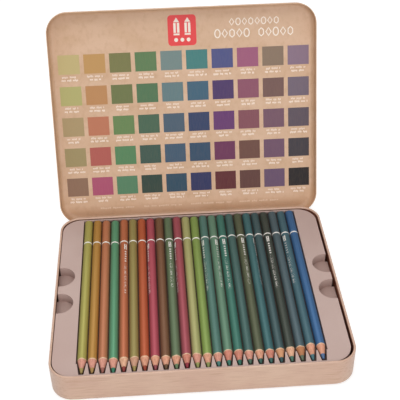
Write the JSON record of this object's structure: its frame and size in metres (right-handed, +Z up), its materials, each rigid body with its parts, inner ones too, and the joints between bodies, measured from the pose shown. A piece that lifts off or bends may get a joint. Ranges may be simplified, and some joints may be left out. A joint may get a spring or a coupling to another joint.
{
  "type": "colour pencil tin",
  "caption": "Hinged flat tin with rounded corners that holds stacked formed trays of round colour pencils, with finger notches and a colour chart inside its lid.",
  "frame": {"origin": "middle of the underside of the base, on the surface that the tin stands on", "axes": "+X to the right along the hinge, +Y to the back where the hinge is, +Z up"},
  "size_m": [0.2332, 0.2669, 0.1919],
  "materials": {
    "tin_print": "satin",
    "lid_print": "satin",
    "pin_steel": "satin",
    "tray_plastic": "matte",
    "lower_lacquer": "gloss",
    "lower_lead": "matte",
    "lacquer_01": "gloss",
    "colour_01": "matte",
    "lacquer_02": "gloss",
    "colour_02": "matte",
    "lacquer_03": "gloss",
    "colour_03": "matte",
    "lacquer_04": "gloss",
    "colour_04": "matte",
    "lacquer_05": "gloss",
    "colour_05": "matte",
    "lacquer_06": "gloss",
    "colour_06": "matte",
    "lacquer_07": "gloss",
    "colour_07": "matte",
    "lacquer_08": "gloss",
    "colour_08": "matte",
    "lacquer_09": "gloss",
    "colour_09": "matte",
    "lacquer_10": "gloss",
    "colour_10": "matte",
    "lacquer_11": "gloss",
    "colour_11": "matte",
    "lacquer_12": "gloss",
    "colour_12": "matte",
    "lacquer_13": "gloss",
    "colour_13": "matte",
    "lacquer_14": "gloss",
    "colour_14": "matte",
    "lacquer_15": "gloss",
    "colour_15": "matte",
    "lacquer_16": "gloss",
    "colour_16": "matte",
    "lacquer_17": "gloss",
    "colour_17": "matte",
    "lacquer_18": "gloss",
    "colour_18": "matte",
    "lacquer_19": "gloss",
    "colour_19": "matte",
    "lacquer_20": "gloss",
    "colour_20": "matte",
    "lacquer_21": "gloss",
    "colour_21": "matte",
    "lacquer_22": "gloss",
    "colour_22": "matte",
    "lacquer_23": "gloss",
    "colour_23": "matte",
    "lacquer_24": "gloss",
    "colour_24": "matte"
  },
  "bodies": {
    "base": {"base_shell": "tin_print", "hinge_pins": "pin_steel"},
    "lid": {"lid_shell": "lid_print"},
    "lower_tray": {"lower_tray": "tray_plastic"},
    "lower_pencils": {"lower_barrels": "lower_lacquer", "lower_leads": "lower_lead"},
    "upper_tray": {"upper_tray": "tray_plastic"},
    "pencil_01": {"barrel_01": "lacquer_01", "lead_01": "colour_01"},
    "pencil_02": {"barrel_02": "lacquer_02", "lead_02": "colour_02"},
    "pencil_03": {"barrel_03": "lacquer_03", "lead_03": "colour_03"},
    "pencil_04": {"barrel_04": "lacquer_04", "lead_04": "colour_04"},
    "pencil_05": {"barrel_05": "lacquer_05", "lead_05": "colour_05"},
    "pencil_06": {"barrel_06": "lacquer_06", "lead_06": "colour_06"},
    "pencil_07": {"barrel_07": "lacquer_07", "lead_07": "colour_07"},
    "pencil_08": {"barrel_08": "lacquer_08", "lead_08": "colour_08"},
    "pencil_09": {"barrel_09": "lacquer_09", "lead_09": "colour_09"},
    "pencil_10": {"barrel_10": "lacquer_10", "lead_10": "colour_10"},
    "pencil_11": {"barrel_11": "lacquer_11", "lead_11": "colour_11"},
    "pencil_12": {"barrel_12": "lacquer_12", "lead_12": "colour_12"},
    "pencil_13": {"barrel_13": "lacquer_13", "lead_13": "colour_13"},
    "pencil_14": {"barrel_14": "lacquer_14", "lead_14": "colour_14"},
    "pencil_15": {"barrel_15": "lacquer_15", "lead_15": "colour_15"},
    "pencil_16": {"barrel_16": "lacquer_16", "lead_16": "colour_16"},
    "pencil_17": {"barrel_17": "lacquer_17", "lead_17": "colour_17"},
    "pencil_18": {"barrel_18": "lacquer_18", "lead_18": "colour_18"},
    "pencil_19": {"barrel_19": "lacquer_19", "lead_19": "colour_19"},
    "pencil_20": {"barrel_20": "lacquer_20", "lead_20": "colour_20"},
    "pencil_21": {"barrel_21": "lacquer_21", "lead_21": "colour_21"},
    "pencil_22": {"barrel_22": "lacquer_22", "lead_22": "colour_22"},
    "pencil_23": {"barrel_23": "lacquer_23", "lead_23": "colour_23"},
    "pencil_24": {"barrel_24": "lacquer_24", "lead_24": "colour_24"}
  },
  "joints": [
    {"name": "lid_hinge", "type": "hinge", "parent": "base", "child": "lid", "pos_m": [0, 0.0949, 0.0162], "axis": [-1, 0, 0], "range_deg": [-111.5, 0]},
    {"name": "lower_tray_lift", "type": "slide", "parent": "base", "child": "lower_tray", "axis": [0, 0, 1], "range_m": [0, 0.03]},
    {"name": "lower_pencils_lift", "type": "slide", "parent": "lower_tray", "child": "lower_pencils", "axis": [0, 0, 1], "range_m": [0, 0.012]},
    {"name": "upper_tray_lift", "type": "slide", "parent": "lower_pencils", "child": "upper_tray", "axis": [0, 0, 1], "range_m": [0, 0.018]},
    {"name": "pencil_01_lift", "type": "slide", "parent": "upper_tray", "child": "pencil_01", "axis": [0, 0, 1], "range_m": [0, 0.012]},
    {"name": "pencil_02_lift", "type": "slide", "parent": "upper_tray", "child": "pencil_02", "axis": [0, 0, 1], "range_m": [0, 0.012]},
    {"name": "pencil_03_lift", "type": "slide", "parent": "upper_tray", "child": "pencil_03", "axis": [0, 0, 1], "range_m": [0, 0.012]},
    {"name": "pencil_04_lift", "type": "slide", "parent": "upper_tray", "child": "pencil_04", "axis": [0, 0, 1], "range_m": [0, 0.012]},
    {"name": "pencil_05_lift", "type": "slide", "parent": "upper_tray", "child": "pencil_05", "axis": [0, 0, 1], "range_m": [0, 0.012]},
    {"name": "pencil_06_lift", "type": "slide", "parent": "upper_tray", "child": "pencil_06", "axis": [0, 0, 1], "range_m": [0, 0.012]},
    {"name": "pencil_07_lift", "type": "slide", "parent": "upper_tray", "child": "pencil_07", "axis": [0, 0, 1], "range_m": [0, 0.012]},
    {"name": "pencil_08_lift", "type": "slide", "parent": "upper_tray", "child": "pencil_08", "axis": [0, 0, 1], "range_m": [0, 0.012]},
    {"name": "pencil_09_lift", "type": "slide", "parent": "upper_tray", "child": "pencil_09", "axis": [0, 0, 1], "range_m": [0, 0.012]},
    {"name": "pencil_10_lift", "type": "slide", "parent": "upper_tray", "child": "pencil_10", "axis": [0, 0, 1], "range_m": [0, 0.012]},
    {"name": "pencil_11_lift", "type": "slide", "parent": "upper_tray", "child": "pencil_11", "axis": [0, 0, 1], "range_m": [0, 0.012]},
    {"name": "pencil_12_lift", "type": "slide", "parent": "upper_tray", "child": "pencil_12", "axis": [0, 0, 1], "range_m": [0, 0.012]},
    {"name": "pencil_13_lift", "type": "slide", "parent": "upper_tray", "child": "pencil_13", "axis": [0, 0, 1], "range_m": [0, 0.012]},
    {"name": "pencil_14_lift", "type": "slide", "parent": "upper_tray", "child": "pencil_14", "axis": [0, 0, 1], "range_m": [0, 0.012]},
    {"name": "pencil_15_lift", "type": "slide", "parent": "upper_tray", "child": "pencil_15", "axis": [0, 0, 1], "range_m": [0, 0.012]},
    {"name": "pencil_16_lift", "type": "slide", "parent": "upper_tray", "child": "pencil_16", "axis": [0, 0, 1], "range_m": [0, 0.012]},
    {"name": "pencil_17_lift", "type": "slide", "parent": "upper_tray", "child": "pencil_17", "axis": [0, 0, 1], "range_m": [0, 0.012]},
    {"name": "pencil_18_lift", "type": "slide", "parent": "upper_tray", "child": "pencil_18", "axis": [0, 0, 1], "range_m": [0, 0.012]},
    {"name": "pencil_19_lift", "type": "slide", "parent": "upper_tray", "child": "pencil_19", "axis": [0, 0, 1], "range_m": [0, 0.012]},
    {"name": "pencil_20_lift", "type": "slide", "parent": "upper_tray", "child": "pencil_20", "axis": [0, 0, 1], "range_m": [0, 0.012]},
    {"name": "pencil_21_lift", "type": "slide", "parent": "upper_tray", "child": "pencil_21", "axis": [0, 0, 1], "range_m": [0, 0.012]},
    {"name": "pencil_22_lift", "type": "slide", "parent": "upper_tray", "child": "pencil_22", "axis": [0, 0, 1], "range_m": [0, 0.012]},
    {"name": "pencil_23_lift", "type": "slide", "parent": "upper_tray", "child": "pencil_23", "axis": [0, 0, 1], "range_m": [0, 0.012]},
    {"name": "pencil_24_lift", "type": "slide", "parent": "upper_tray", "child": "pencil_24", "axis": [0, 0, 1], "range_m": [0, 0.012]}
  ]
}
